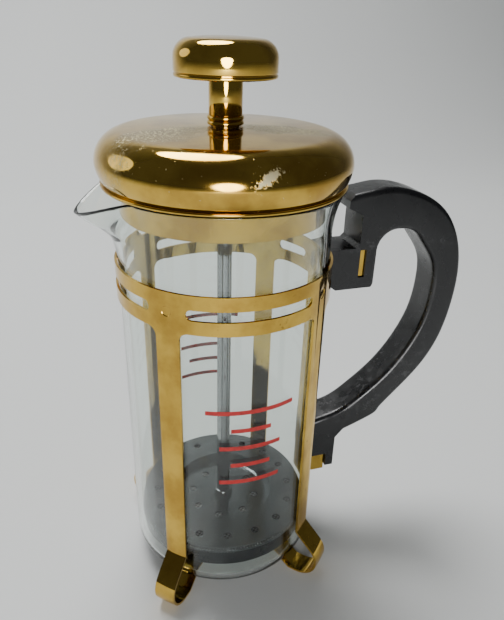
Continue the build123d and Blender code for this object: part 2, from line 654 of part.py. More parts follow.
def spiral_plate():
    """Pressed plate: flat outer ring, recessed middle, two rings of holes."""
    low = RECESS_Z - PLATE_T
    step_in = PLATE_STEP_R - PLATE_RECESS / 2
    plate = lathe(Polyline((0, low), (step_in, low), (PLATE_STEP_R, PLATE_Z - PLATE_T),
                           (PLATE_R, PLATE_Z - PLATE_T), (PLATE_R, PLATE_Z),
                           (PLATE_STEP_R - PLATE_T / 2, PLATE_Z), (step_in - PLATE_T / 2, RECESS_Z),
                           (0, RECESS_Z), (0, low)))
    plate -= drum(ROD_R, low, PLATE_T)
    plate -= hole_ring(OUTER_HOLES, OUTER_HOLE_RING_R, PLATE_HOLE_R)
    return plate - hole_ring(INNER_HOLES, INNER_HOLE_RING_R, PLATE_HOLE_R)


def edge_spring():
    """Outer shape of the coil spring round the filter's edge."""
    height = PLATE_Z - PLATE_T - COIL_R
    return Pos(0, 0, height) * Torus(COIL_OUTER_R - COIL_R, COIL_R)


def mesh_screen():
    return ring(ROD_R, SCREEN_R, SCREEN_Z, SCREEN_T)


def cross_plate():
    """Bottom plate: a hub, four ribs and a ring whose deep rim carries the spring."""
    plate = ring(ROD_R, CROSS_HUB_R, CROSS_Z, CROSS_T)
    plate += ring(CROSS_RING_R, CROSS_R, CROSS_Z, CROSS_T)
    rib_l = CROSS_RING_R + CROSS_T
    for angle in (0, 90):
        rib = Pos(0, 0, CROSS_Z) * Box(2 * rib_l, CROSS_RIB, CROSS_T, align=BOSS_ALIGN)
        plate += polar(angle) * rib
    plate -= drum(ROD_R, CROSS_Z, CROSS_T)
    foot_z = CROSS_Z - CROSS_RIM_DROP
    return plate + ring(CROSS_R - CROSS_T, CROSS_R, foot_z, RIM_TOP_Z - foot_z)


def filter_nut():
    """Nut that clamps the filter against the stop ring."""
    return hex_nut(FILTER_NUT_AF, ROD_R, CROSS_Z - FILTER_NUT_H, FILTER_NUT_H)


PIECES = {
    "glass_beaker": glass_beaker,
    "frame": frame,
    "handle_bracket": handle_bracket,
    "handle": handle,
    "handle_screw": handle_screw,
    "handle_nut": handle_nut,
    "lid_dome": lid_dome,
    "lid_skirt": lid_skirt,
    "lid_spacer": lid_spacer,
    "lid_washer": lid_washer,
    "lid_nut": lid_nut,
    "neck_tube": neck_tube,
    "neck_ferrule": neck_ferrule,
    "guide_bush": guide_bush,
    "knob_cap": knob_cap,
    "knob_base": knob_base,
    "knob_insert": knob_insert,
    "plunger_rod": plunger_rod,
    "rod_collar": rod_collar,
    "spiral_plate": spiral_plate,
    "edge_spring": edge_spring,
    "mesh_screen": mesh_screen,
    "cross_plate": cross_plate,
    "filter_nut": filter_nut,
}

os.makedirs("parts", exist_ok=True)
for name, make in PIECES.items():
    export_step(make(), f"parts/{name}.step")
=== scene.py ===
"""Looks of a small plunger coffee maker: glass beaker, gold-plated frame, moulded handle."""

import math

import bmesh
import bpy
from mathutils import Matrix, Vector


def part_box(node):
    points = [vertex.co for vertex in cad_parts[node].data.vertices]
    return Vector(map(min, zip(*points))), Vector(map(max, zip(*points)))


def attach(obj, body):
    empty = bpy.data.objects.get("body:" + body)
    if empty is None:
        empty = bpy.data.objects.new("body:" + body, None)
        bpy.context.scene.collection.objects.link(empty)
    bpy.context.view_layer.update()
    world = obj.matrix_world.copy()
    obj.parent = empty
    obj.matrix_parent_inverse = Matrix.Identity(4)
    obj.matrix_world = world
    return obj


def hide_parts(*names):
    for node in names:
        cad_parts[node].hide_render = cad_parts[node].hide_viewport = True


bl_info = {
    "name": "Plunger Coffee Maker",
    "version": (1, 0, 0),
    "blender": (4, 5, 0),
    "location": "3D View > Sidebar > Coffee Maker",
    "description": "Builds the visible pieces of a glass plunger coffee maker",
    "category": "Object",
}

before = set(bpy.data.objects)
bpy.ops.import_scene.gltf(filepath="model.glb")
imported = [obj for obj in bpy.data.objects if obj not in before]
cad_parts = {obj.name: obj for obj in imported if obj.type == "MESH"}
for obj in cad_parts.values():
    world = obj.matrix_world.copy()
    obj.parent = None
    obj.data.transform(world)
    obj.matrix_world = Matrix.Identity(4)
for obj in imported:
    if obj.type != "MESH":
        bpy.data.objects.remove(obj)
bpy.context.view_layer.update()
MM = 0.001

GLASS_LOW, GLASS_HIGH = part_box("glass_beaker")
DOME_LOW, DOME_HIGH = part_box("lid_dome")
KNOB_LOW, KNOB_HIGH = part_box("knob_cap")
NECK_LOW, NECK_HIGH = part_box("neck_tube")
FERRULE_LOW, FERRULE_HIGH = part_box("neck_ferrule")
SKIRT_LOW, SKIRT_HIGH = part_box("lid_skirt")
SPRING_LOW, SPRING_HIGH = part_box("edge_spring")
COLLAR_LOW, COLLAR_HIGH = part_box("rod_collar")
ROD_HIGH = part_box("plunger_rod")[1]

SHEET = 0.8 * MM            # pressed sheet of the lid and the knob
BORE_LAP = 0.75 * MM        # how far the lid's sheets reach under the neck's foot
SKIRT_R = 32.6 * MM
SPIGOT_STEP = 0.9 * MM      # the neck's foot is this much slimmer than the neck
NECK_BORE = 2.75 * MM
NEAR = 0.002 * MM           # corners nearer than this are one corner
CREASE = 28                 # degrees: sharper edges than this stay sharp on pressed sheet
# Middle line of the spout's outside in mm, (radius, height), from its foot to the tip.
SPOUT_LINE = ((35.0, 128.0), (35.3, 131.6), (36.8, 135.0), (39.8, 137.8), (43.4, 140.0),
              (47.2, 143.4))
SPOUT_SOFT = math.radians(3.0)    # how blunt the spout's channel is
SPOUT_PINCH = 1.55
SPOUT_FULL = 0.55
# Height in mm and length, as a share of the longest, of each level mark.
MARKS = ((85, 1.0), (78, 0.45), (71, 0.7), (64, 0.45), (57, 0.7))
# Place in metres, width in metres and share of the key setting of each lamp.
LAMPS = {
    "overhead": ((-0.1, 0.45, 1.25), 0.7, 2.2),
    "key": ((-0.2, -0.9, 0.22), 0.4, 0.8),
    "side": ((-0.9, 0.5, 0.5), 0.6, 0.15),
}
AIM = Vector((0, 0, 0.09))
WALL_BACK = 1.1             # metres from the axis to the backdrop
WALL_BEND = 0.5
CAMERA_PLACE = (-0.04783, -0.17850, 0.19767)
CAMERA_TURN = (-18.016, 63.304, 1.728)    # degrees: heading, tilt, roll


# ---- settings ---------------------------------------------------------------------------------

def length(name, description, value_mm):
    """A length property, given in millimetres."""
    return bpy.props.FloatProperty(name=name, description=description, default=value_mm * MM,
                                   unit="LENGTH", subtype="DISTANCE", min=0, precision=5)


class GlassSettings(bpy.types.PropertyGroup):
    radius: length("Radius", "Outside radius of the beaker's wall", 35.0)
    wall: length("Wall", "Thickness of the glass wall", 1.8)
    base: length("Base", "Thickness of the glass base", 2.4)
    corner: length("Corner", "Outside radius of the base corner", 7.0)
    flare_height: length("Flare height", "Height where the wall starts to flare", 136.0)
    spout_foot: length("Spout foot", "Height where the spout leaves the wall", 128.0)
    spout_angle: bpy.props.FloatProperty(
        name="Spout half angle", description="Half of the rim that the spout takes up",
        default=math.radians(30), subtype="ANGLE", unit="ROTATION")
    mark_width: length("Mark width", "Length of the longest level mark", 30.0)
    mark_height: length("Mark height", "Height of one level mark", 1.6)


class MetalSettings(bpy.types.PropertyGroup):
    edge: length("Sheet edge", "Rounding on the cut edges of pressed sheet", 0.14)
    wire: length("Spring wire", "Thickness of the filter spring's wire", 0.5)
    turns: bpy.props.IntProperty(name="Spring turns", description="Turns of the filter spring",
                                 default=190, min=12)


class HandleSettings(bpy.types.PropertyGroup):
    edge: length("Mould edge", "Rounding on the moulding's sharp edges", 0.35)


class StageSettings(bpy.types.PropertyGroup):
    floor_size: bpy.props.FloatProperty(name="Floor size", description="Width of the floor",
                                        default=6.0, unit="LENGTH", subtype="DISTANCE")
    key_power: bpy.props.FloatProperty(name="Key light", description="Power of the key light",
                                       default=9.0, unit="POWER")


# ---- materials --------------------------------------------------------------------------------

def colour(code):
    """Linear colour from an sRGB hex code."""
    parts = [int(code[place:place + 2], 16) / 255 for place in (1, 3, 5)]
    linear = [part / 12.92 if part <= 0.04045 else ((part + 0.055) / 1.055) ** 2.4
              for part in parts]
    return (*linear, 1.0)


def every(size_mm):
    """Texture scale for features of the given size on Object coordinates, which are metres."""
    return 1 / (size_mm * MM)


def add_node(tree, kind, settings=None, output=0, **inputs):
    """Add a node, set its settings, link or set its inputs, named or numbered as _0, _1, and
    return one of its outputs."""
    node = tree.nodes.new(kind)
    for name, value in (settings or {}).items():
        setattr(node, name, value)
    for name, value in inputs.items():
        key = int(name[1:]) if name[0] == "_" else name.replace("_", " ")
        if isinstance(value, bpy.types.NodeSocket):
            tree.links.new(value, node.inputs[key])
        else:
            node.inputs[key].default_value = value
    return node.outputs[output]


SMOOTH = {"interpolation_type": "SMOOTHSTEP"}
RGBA = {"data_type": "RGBA"}
TIMES = {"operation": "MULTIPLY"}
MOST = {"operation": "MAXIMUM"}
LENGTH = {"operation": "LENGTH"}


def new_material(name, look):
    """A material with one Principled surface; look sets the shader's own sockets."""
    material = bpy.data.materials.new(name)
    material.use_nodes = True
    tree = material.node_tree
    shader = tree.nodes["Principled BSDF"]
    for socket, value in look.items():
        shader.inputs[socket].default_value = value
    where = add_node(tree, "ShaderNodeTexCoord", output="Object")
    return material, tree, shader, where


def connect(tree, shader, **sockets):
    """Link outputs to the surface's sockets."""
    for name, source in sockets.items():
        tree.links.new(source, shader.inputs[name.replace("_", " ")])


def wall_glass():
    """Borosilicate glass, blown and fire-polished: clear, faintly green at the edges, with a
    slow waviness and dried water marks that only the highlights give away."""
    material, tree, shader, where = new_material("borosilicate glass, blown", {
        "Base Color": colour("#F6FBF8"), "Transmission Weight": 1.0, "IOR": 1.47,
        "Roughness": 0.0})
    marks = add_node(tree, "ShaderNodeTexNoise", Vector=where, Scale=every(9.0), Detail=4.0,
                     Roughness=0.6)
    rough = add_node(tree, "ShaderNodeMapRange", SMOOTH, Value=marks, From_Min=0.62,
                     From_Max=0.72, To_Max=0.06)
    wave = add_node(tree, "ShaderNodeTexNoise", Vector=where, Scale=every(26.0), Detail=1.0)
    relief = add_node(tree, "ShaderNodeBump", Height=wave, Distance=0.05 * MM, Strength=0.5)
    connect(tree, shader, Roughness=rough, Normal=relief)
    return material


def printed_enamel():
    """Red ceramic enamel, screen-printed and fired: flat, satin, slightly uneven."""
    material, tree, shader, where = new_material("ceramic enamel, screen-printed", {
        "Roughness": 0.4, "IOR": 1.5})
    grain = add_node(tree, "ShaderNodeTexNoise", Vector=where, Scale=every(0.9), Detail=2.0)
    worn = add_node(tree, "ShaderNodeMapRange", SMOOTH, Value=grain, From_Min=0.4, From_Max=0.7)
    red = add_node(tree, "ShaderNodeMix", RGBA, 2, _0=worn, _6=colour("#A81B18"),
                   _7=colour("#86100C"))
    connect(tree, shader, Base_Color=red)
    return material


def gold_plate():
    """Brass-gold plating on pressed steel, polished: a deep yellow mirror, hazed in soft
    patches where it has been handled."""
    material, tree, shader, where = new_material("gold plate on steel, polished", {
        "Metallic": 1.0})
    tint, rough, height = plated_surface(tree, where)
    relief = add_node(tree, "ShaderNodeBump", Height=height, Distance=0.04 * MM, Strength=0.5)
    connect(tree, shader, Base_Color=tint, Roughness=rough, Normal=relief)
    return material


def plated_surface(tree, where):
    """Colour, roughness and slow waviness that all the plated pieces share."""
    cloud = add_node(tree, "ShaderNodeTexNoise", Vector=where, Scale=every(14.0), Detail=4.0,
                     Roughness=0.6)
    haze = add_node(tree, "ShaderNodeMapRange", SMOOTH, Value=cloud, From_Min=0.35,
                    From_Max=0.7)
    tint = add_node(tree, "ShaderNodeMix", RGBA, 2, _0=haze, _6=colour("#D9B351"),
                    _7=colour("#B48E3E"))
    rough = add_node(tree, "ShaderNodeMapRange", Value=haze, To_Min=0.05, To_Max=0.13)
    height = add_node(tree, "ShaderNodeTexNoise", Vector=where, Scale=every(11.0), Detail=1.0)
    return tint, rough, height


def specked_plate():
    """The same plating on the frame, with brown specks where the steel shows through, more of
    them towards the handle, which is held with wet hands."""
    material, tree, shader, where = new_material("gold plate on steel, specked", {
        "Metallic": 1.0})
    tint, rough, height = plated_surface(tree, where)
    spots = add_node(tree, "ShaderNodeTexNoise", Vector=where, Scale=every(2.0), Detail=6.0,
                     Roughness=0.78)
    speck = add_node(tree, "ShaderNodeMapRange", SMOOTH, Value=spots, From_Min=0.585,
                     From_Max=0.66)
    side = add_node(tree, "ShaderNodeSeparateXYZ", Vector=where)
    there = add_node(tree, "ShaderNodeMapRange", Value=side, From_Min=-0.02, From_Max=0.03,
                     To_Min=0.08, To_Max=0.8)
    rust = add_node(tree, "ShaderNodeMath", TIMES, _0=speck, _1=there)
    tint = add_node(tree, "ShaderNodeMix", RGBA, 2, _0=rust, _6=tint, _7=colour("#4A3012"))
    rust_rough = add_node(tree, "ShaderNodeMath", TIMES, _0=rust, _1=0.55)
    rough = add_node(tree, "ShaderNodeMath", MOST, _0=rough, _1=rust_rough)
    relief = add_node(tree, "ShaderNodeBump", Height=height, Distance=0.04 * MM, Strength=0.5)
    connect(tree, shader, Base_Color=tint, Roughness=rough, Normal=relief)
    return material


def dulled_plate():
    """The same plating on the lid, gone dull where fingers steady it: two grey-olive patches
    of fine pits beside the neck, a crusted stain on the front, scattered pale specks."""
    material, tree, shader, where = new_material("gold plate on steel, dulled by handling", {
        "Metallic": 1.0})
    tint, rough, height = plated_surface(tree, where)
    haze, pits = dull_patches(tree, where)
    crust = crusted_stain(tree, where)
    dust = add_node(tree, "ShaderNodeTexNoise", Vector=where, Scale=every(1.1), Detail=3.0,
                    Roughness=0.8)
    dust = add_node(tree, "ShaderNodeMapRange", SMOOTH, Value=dust, From_Min=0.68,
                    From_Max=0.73, To_Max=0.7)
    tint = add_node(tree, "ShaderNodeMix", RGBA, 2, _0=haze, _6=tint, _7=colour("#857A48"))
    tint = add_node(tree, "ShaderNodeMix", RGBA, 2, _0=pits, _6=tint, _7=colour("#C9C09A"))
    chalk = add_node(tree, "ShaderNodeMath", MOST, _0=crust, _1=dust)
    tint = add_node(tree, "ShaderNodeMix", RGBA, 2, _0=chalk, _6=tint, _7=colour("#D6CBA4"))
    worn = add_node(tree, "ShaderNodeMath", TIMES, _0=haze, _1=0.36)
    spoilt = add_node(tree, "ShaderNodeMath", MOST, _0=pits, _1=chalk)
    spoilt = add_node(tree, "ShaderNodeMath", TIMES, _0=spoilt, _1=0.62)
    rough = add_node(tree, "ShaderNodeMath", MOST, _0=rough, _1=worn)
    rough = add_node(tree, "ShaderNodeMath", MOST, _0=rough, _1=spoilt)
    height = add_node(tree, "ShaderNodeMath", {"operation": "ADD"}, _0=height, _1=spoilt)
    relief = add_node(tree, "ShaderNodeBump", Height=height, Distance=0.05 * MM, Strength=0.5)
    connect(tree, shader, Base_Color=tint, Roughness=rough, Normal=relief)
    return material


def dull_patches(tree, where):
    """Masks of the dull patches left and right of the neck, and of the pits in them."""
    reaches = []
    for centre, turned, half in (((-0.0185, -0.0075), 0.42, (0.021, 0.0105)),
                                 ((0.0135, -0.006), -0.4, (0.0165, 0.008))):
        spread = add_node(tree, "ShaderNodeMapping", {"vector_type": "TEXTURE"}, Vector=where,
                          Location=(*centre, 0.165), Rotation=(0, 0, turned),
                          Scale=(*half, 0.05))
        reaches.append(add_node(tree, "ShaderNodeVectorMath", LENGTH, "Value", _0=spread))
    reach = add_node(tree, "ShaderNodeMath", {"operation": "MINIMUM"}, _0=reaches[0],
                     _1=reaches[1])
    cloud = add_node(tree, "ShaderNodeTexNoise", Vector=where, Scale=every(9.0), Detail=6.0,
                     Roughness=0.7)
    frayed = add_node(tree, "ShaderNodeMath", {"operation": "MULTIPLY_ADD"}, _0=cloud,
                      _1=-2.4, _2=reach)
    haze = add_node(tree, "ShaderNodeMapRange", SMOOTH, Value=frayed, From_Min=0.0,
                    From_Max=-0.8, To_Max=0.6)
    grain = add_node(tree, "ShaderNodeTexNoise", Vector=where, Scale=every(0.8), Detail=4.0,
                     Roughness=0.75)
    grain = add_node(tree, "ShaderNodeMapRange", SMOOTH, Value=grain, From_Min=0.5,
                     From_Max=0.6, To_Max=1.5)
    pits = add_node(tree, "ShaderNodeMath", {"operation": "MULTIPLY", "use_clamp": True},
                    _0=grain, _1=haze)
    return haze, pits


def crusted_stain(tree, where):
    """Mask of a crumbly dried splash on the front shoulder of the lid."""
    centre = add_node(tree, "ShaderNodeMapping", {"vector_type": "TEXTURE"}, Vector=where,
                      Location=(0.001, -0.039, 0.1605), Rotation=(0, -0.5, 0),
                      Scale=(0.005, 0.006, 0.0018))
    reach = add_node(tree, "ShaderNodeVectorMath", LENGTH, "Value", _0=centre)
    crumbs = add_node(tree, "ShaderNodeTexNoise", Vector=where, Scale=every(1.2), Detail=6.0,
                      Roughness=0.85)
    crumbs = add_node(tree, "ShaderNodeMath", {"operation": "MULTIPLY_ADD"}, _0=reach,
                      _1=-0.3, _2=crumbs)
    return add_node(tree, "ShaderNodeMapRange", SMOOTH, Value=crumbs, From_Min=0.24,
                    From_Max=0.34)


def moulded_plastic():
    """Black thermoset, compression-moulded: deep black with a satin skin, fine scratches, and
    grey dust caught low on the grip and on top of the clamp block."""
    material, tree, shader, where = new_material("phenolic plastic, moulded", {"IOR": 1.55})
    grain = add_node(tree, "ShaderNodeTexNoise", Vector=where, Scale=every(0.45), Detail=3.0)
    along = add_node(tree, "ShaderNodeMapping", Vector=where, Rotation=(0, 0.7, 0),
                     Scale=(1.0, 1.0, 9.0))
    scuffs = add_node(tree, "ShaderNodeTexNoise", Vector=along, Scale=every(5.0), Detail=8.0,
                      Roughness=0.8)
    scuffs = add_node(tree, "ShaderNodeMapRange", SMOOTH, Value=scuffs, From_Min=0.6,
                      From_Max=0.72, To_Max=0.3)
    up = add_node(tree, "ShaderNodeSeparateXYZ", output="Z", Vector=where)
    low = add_node(tree, "ShaderNodeMapRange", SMOOTH, Value=up, From_Min=0.095,
                   From_Max=0.07)
    lip = add_node(tree, "ShaderNodeMapRange", SMOOTH, Value=up, From_Min=0.045,
                   From_Max=0.06)
    low = add_node(tree, "ShaderNodeMath", TIMES, _0=low, _1=lip)
    block = add_node(tree, "ShaderNodeMapRange", SMOOTH, Value=up, From_Min=0.123,
                     From_Max=0.1262)
    over = add_node(tree, "ShaderNodeMapRange", SMOOTH, Value=up, From_Min=0.131,
                    From_Max=0.127)
    block = add_node(tree, "ShaderNodeMath", TIMES, _0=block, _1=over)
    dusty = add_node(tree, "ShaderNodeMath", MOST, _0=low, _1=block)
    dust = add_node(tree, "ShaderNodeTexNoise", Vector=where, Scale=every(3.0), Detail=8.0,
                    Roughness=0.75)
    dust = add_node(tree, "ShaderNodeMapRange", SMOOTH, Value=dust, From_Min=0.5,
                    From_Max=0.68, To_Max=0.4)
    dust = add_node(tree, "ShaderNodeMath", TIMES, _0=dust, _1=dusty)
    mark = add_node(tree, "ShaderNodeMath", MOST, _0=scuffs, _1=dust)
    black = add_node(tree, "ShaderNodeMix", RGBA, 2, _0=mark, _6=colour("#070709"),
                     _7=colour("#4E4F50"))
    cloud = add_node(tree, "ShaderNodeTexNoise", Vector=where, Scale=every(9.0), Detail=4.0)
    sheen = add_node(tree, "ShaderNodeMapRange", SMOOTH, Value=cloud, From_Min=0.35,
                     From_Max=0.7, To_Min=0.22, To_Max=0.36)
    rough = add_node(tree, "ShaderNodeMath", {"operation": "MULTIPLY_ADD"}, _0=mark, _1=0.3,
                     _2=sheen)
    relief = add_node(tree, "ShaderNodeBump", Height=grain, Distance=0.02 * MM, Strength=0.4)
    connect(tree, shader, Base_Color=black, Roughness=rough, Normal=relief)
    return material


def pressed_steel():
    """Stainless steel, pressed: grey, with faint turned rings and cloudy coffee stains."""
    material, tree, shader, where = new_material("stainless steel, pressed", {
        "Metallic": 1.0})
    cloud = add_node(tree, "ShaderNodeTexNoise", Vector=where, Scale=every(14.0), Detail=5.0,
                     Roughness=0.55)
    stain = add_node(tree, "ShaderNodeMapRange", SMOOTH, Value=cloud, From_Min=0.35,
                     From_Max=0.75)
    grey = add_node(tree, "ShaderNodeMix", RGBA, 2, _0=stain, _6=colour("#85898C"),
                    _7=colour("#626567"))
    rough = add_node(tree, "ShaderNodeMapRange", Value=stain, To_Min=0.16, To_Max=0.28)
    flat = add_node(tree, "ShaderNodeVectorMath", TIMES, _0=where, _1=(1, 1, 0))
    rings = add_node(tree, "ShaderNodeTexWave",
                     {"wave_type": "RINGS", "rings_direction": "SPHERICAL"}, Vector=flat,
                     Scale=every(5.0), Distortion=0.3)
    relief = add_node(tree, "ShaderNodeBump", Height=rings, Distance=0.02 * MM, Strength=0.5)
    connect(tree, shader, Base_Color=grey, Roughness=rough, Normal=relief)
    return material


def shade_darkened_steel():
    """Stainless steel rim, painted nearly black as shade: the dark stands in for the shade under
    the filter's edge, with a soft sheen.
    """
    material, tree, shader, where = new_material("stainless steel, painted shade", {
        "Metallic": 1.0})
    shade_tone = add_node(tree, "ShaderNodeTexNoise", Vector=where, Scale=every(6.0), Detail=4.0,
                    Roughness=0.6)
    # Both greys are near black: painted shade for the shade under the filter's edge, not the
    # steel's own colour.
    grey = add_node(tree, "ShaderNodeMix", RGBA, 2, _0=shade_tone, _6=colour("#1A1D21"),
                    _7=colour("#34383C"))
    rough = add_node(tree, "ShaderNodeMapRange", SMOOTH, Value=shade_tone, From_Min=0.3,
                     From_Max=0.7, To_Min=0.25, To_Max=0.38)
    connect(tree, shader, Base_Color=grey, Roughness=rough)
    return material


def woven_steel():
    """Stainless wire cloth, plain weave, 0.8 mm from wire to wire, drawn coarser than the real
    0.2 mm so that it shows: a dark fine check."""
    material, tree, shader, where = new_material("stainless wire cloth, woven", {
        "Metallic": 1.0, "Roughness": 0.34})
    weave = add_node(tree, "ShaderNodeTexChecker", output="Fac", Vector=where,
                     Scale=every(0.8))
    grey = add_node(tree, "ShaderNodeMix", RGBA, 2, _0=weave, _6=colour("#8E8F8F"),
                    _7=colour("#4C4B48"))
    relief = add_node(tree, "ShaderNodeBump", Height=weave, Distance=0.12 * MM)
    connect(tree, shader, Base_Color=grey, Normal=relief)
    return material


def bright_steel():
    """Chromed steel, ground and polished: a cold mirror, greyed by use, with faint lengthwise
    drawing lines."""
    material, tree, shader, where = new_material("chromed steel, polished", {
        "Metallic": 1.0, "Base Color": colour("#9B9DA0")})
    along = add_node(tree, "ShaderNodeMapping", Vector=where, Scale=(1.0, 1.0, 0.03))
    drawn = add_node(tree, "ShaderNodeTexNoise", Vector=along, Scale=every(0.5), Detail=3.0)
    rough = add_node(tree, "ShaderNodeMapRange", SMOOTH, Value=drawn, From_Min=0.3,
                     From_Max=0.7, To_Min=0.05, To_Max=0.14)
    connect(tree, shader, Roughness=rough)
    return material


def natural_nylon():
    """Nylon 6, injection-moulded, uncoloured: milky, waxy, slightly yellowed in patches."""
    material, tree, shader, where = new_material("nylon, moulded", {
        "Roughness": 0.4, "IOR": 1.53, "Subsurface Weight": 0.2,
        "Subsurface Scale": 0.002})
    aged = add_node(tree, "ShaderNodeTexNoise", Vector=where, Scale=every(2.5), Detail=3.0)
    milk = add_node(tree, "ShaderNodeMix", RGBA, 2, _0=aged, _6=colour("#E4E0D4"),
                    _7=colour("#CFC7AE"))
    connect(tree, shader, Base_Color=milk)
    return material


def matt_floor():
    """Painted board, rolled: pale, matt and even."""
    material, tree, shader, where = new_material("painted board, rolled", {"Roughness": 0.75})
    cloud = add_node(tree, "ShaderNodeTexNoise", Vector=where, Scale=every(300.0), Detail=2.0)
    tone = add_node(tree, "ShaderNodeMix", RGBA, 2, _0=cloud, _6=colour("#D6D8D7"),
                    _7=colour("#D1D3D2"))
    connect(tree, shader, Base_Color=tone)
    return material


FINISHES = {}


def finish_for(slot_name):
    """The material for a slot, made once."""
    makers = {
        "glass": wall_glass,
        "black_plastic": moulded_plastic,
        "steel": pressed_steel,
        "steel_rim": shade_darkened_steel,
        "steel_mesh": woven_steel,
        "chrome": bright_steel,
        "nylon": natural_nylon,
        "enamel": printed_enamel,
        "floor": matt_floor,
        "gold_plate": gold_plate,
        "gold_lid": dulled_plate,
        "gold_frame": specked_plate,
    }
    if slot_name not in FINISHES:
        FINISHES[slot_name] = makers[slot_name]()
    return FINISHES[slot_name]


# ---- shaping ----------------------------------------------------------------------------------

def rounded_wire(corners, closed=False):
    """A bmesh holding one line through corners of (radius, height, rounding), in metres."""
    shape = bmesh.new()
    verts = [shape.verts.new((radius, 0, height)) for radius, height, _ in corners]
    pairs = list(zip(verts, verts[1:]))
    if closed:
        pairs.append((verts[-1], verts[0]))
    for pair in pairs:
        shape.edges.new(pair)
    for vert, (_, _, rounding) in zip(verts, corners):
        if rounding:
            steps = max(2, min(14, round(rounding / (0.45 * MM)) + 2))
            bmesh.ops.bevel(shape, geom=[vert], offset=rounding, affect="VERTICES",
                            segments=steps, profile=0.5, material=-1)
    return shape


def turn(shape, steps=128):
    """Spin the line about the axis and close its seam and poles."""
    bmesh.ops.spin(shape, geom=shape.verts[:] + shape.edges[:], cent=(0, 0, 0), axis=(0, 0, 1),
                   dvec=(0, 0, 0), angle=math.tau, steps=steps, use_merge=True,
                   use_duplicate=False)
    bmesh.ops.remove_doubles(shape, verts=shape.verts[:], dist=NEAR)
    bmesh.ops.recalc_face_normals(shape, faces=shape.faces[:])
    return shape


def add_piece(name, shape, body, slot_name, finish=None, stands_for=(), crease=40):
    """Turn a bmesh into a piece that rides on a body."""
    mesh = bpy.data.meshes.new(name)
    shape.to_mesh(mesh)
    shape.free()
    mesh.shade_smooth()
    mesh.set_sharp_from_angle(angle=math.radians(crease))
    mesh.materials.append(finish_for(finish or slot_name))
    piece = bpy.data.objects.new(name, mesh)
    bpy.context.scene.collection.objects.link(piece)
    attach(piece, body)
    if stands_for:
        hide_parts(*stands_for)
    return piece


def add_wall(piece, thickness):
    """Give a shell its thickness inwards."""
    wall = piece.modifiers.new("wall", "SOLIDIFY")
    wall.thickness = thickness
    wall.offset = -1.0
    wall.use_even_offset = True


def soften(piece, width, segments=2, angle=35):
    """Round the sharp edges a little."""
    edge = piece.modifiers.new("edge", "BEVEL")
    edge.width = width
    edge.segments = segments
    edge.limit_method = "ANGLE"
    edge.angle_limit = math.radians(angle)
    edge.harden_normals = True


def copy_of(node):
    """A bmesh of a CAD node with its triangles joined and its flat faces made whole."""
    shape = bmesh.new()
    shape.from_mesh(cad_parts[node].data)
    bmesh.ops.remove_doubles(shape, verts=shape.verts[:], dist=NEAR)
    bmesh.ops.dissolve_limit(shape, angle_limit=math.radians(0.5), verts=shape.verts[:],
                             edges=shape.edges[:])
    return shape


def dress(node, finish):
    """Give a CAD node that keeps its shape its finish."""
    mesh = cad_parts[node].data
    mesh.materials.clear()
    mesh.materials.append(finish_for(finish))


# ---- beaker -----------------------------------------------------------------------------------

def spout_line(share):
    """Smooth curve through the spout's line, (radius, height) in mm."""
    last = len(SPOUT_LINE) - 1
    spot = min(share, 1.0) * last
    index = min(int(spot), last - 1)
    part = spot - index
    before = SPOUT_LINE[max(index - 1, 0)]
    start, end = SPOUT_LINE[index], SPOUT_LINE[index + 1]
    after = SPOUT_LINE[min(index + 2, last)]
    return [0.5 * (2 * b + (c - a) * part + (2 * a - 5 * b + 4 * c - d) * part ** 2
                   + (3 * b - a - 3 * c + d) * part ** 3)
            for a, b, c, d in zip(before, start, end, after)]


def draw_out_spout(shape, settings):
    """Pull the wall outwards into a pinched spout on the -X side."""
    foot = settings.spout_foot
    top = GLASS_HIGH.z
    for vert in shape.verts:
        share = (vert.co.z - foot) / (top - foot)
        if share <= 0:
            continue
        angle = abs(math.atan2(vert.co.y, -vert.co.x))
        reach = settings.spout_angle * math.sqrt(1 - 0.85 * (1 - share) ** 2)
        aside = (math.hypot(angle, SPOUT_SOFT) - SPOUT_SOFT) / reach
        if aside >= 1:
            continue
        pull = (1 - aside) ** SPOUT_PINCH * (1 + SPOUT_FULL * aside)
        radius, height = spout_line(share)
        flare = wall_radius(vert.co.z, settings)
        grow = (radius * MM - flare) * pull
        drop = (height * MM - (foot + share * (top - foot))) * pull
        outward = Vector((vert.co.x, vert.co.y, 0)).normalized()
        vert.co += outward * grow
        vert.co.z += drop


def wall_radius(height, settings):
    """Outside radius of the round wall at a height."""
    share = max(0.0, (height - settings.flare_height) / (GLASS_HIGH.z - settings.flare_height))
    return settings.radius + (GLASS_HIGH.x - settings.radius) * share ** 2


class COFFEE_OT_beaker(bpy.types.Operator):
    """Build the blown glass beaker with its drawn-out spout"""
    bl_idname = "coffee.beaker"
    bl_label = "Glass Beaker"

    def execute(self, context):
        settings = context.scene.coffee_glass
        low, top = GLASS_LOW.z, GLASS_HIGH.z
        radius, wall = settings.radius, settings.wall
        inner = radius - wall
        floor = low + settings.base
        rows = 12
        span = top - settings.flare_height
        heights = [settings.flare_height + span * row / rows for row in range(rows + 1)]
        outside = [(wall_radius(height, settings), height, 0) for height in heights]
        rim = outside[-1][0]
        inside = [(wall_radius(height, settings) - wall, height, 0) for height in heights]
        outside[-1] = (rim, top, 0.85 * MM)
        inside[-1] = (rim - wall, top, 0.85 * MM)
        body = [(radius, low + 20 * MM, 0), (radius, settings.spout_foot, 0)]
        back = [(inner, settings.spout_foot, 0), (inner, low + 20 * MM, 0)]
        line = [(0, low + 0.4 * MM, 0), (20 * MM, low, 2 * MM), (radius, low, settings.corner)]
        line += body + outside + inside[::-1] + back
        line += [(inner, floor, settings.corner - wall), (18 * MM, floor, 2 * MM),
                 (0, floor + 0.3 * MM, 0)]
        shape = turn(rounded_wire(line), 256)
        draw_out_spout(shape, settings)
        add_piece("beaker_glass", shape, "beaker", "glass", stands_for=["glass_beaker"],
                  crease=60)
        return {"FINISHED"}


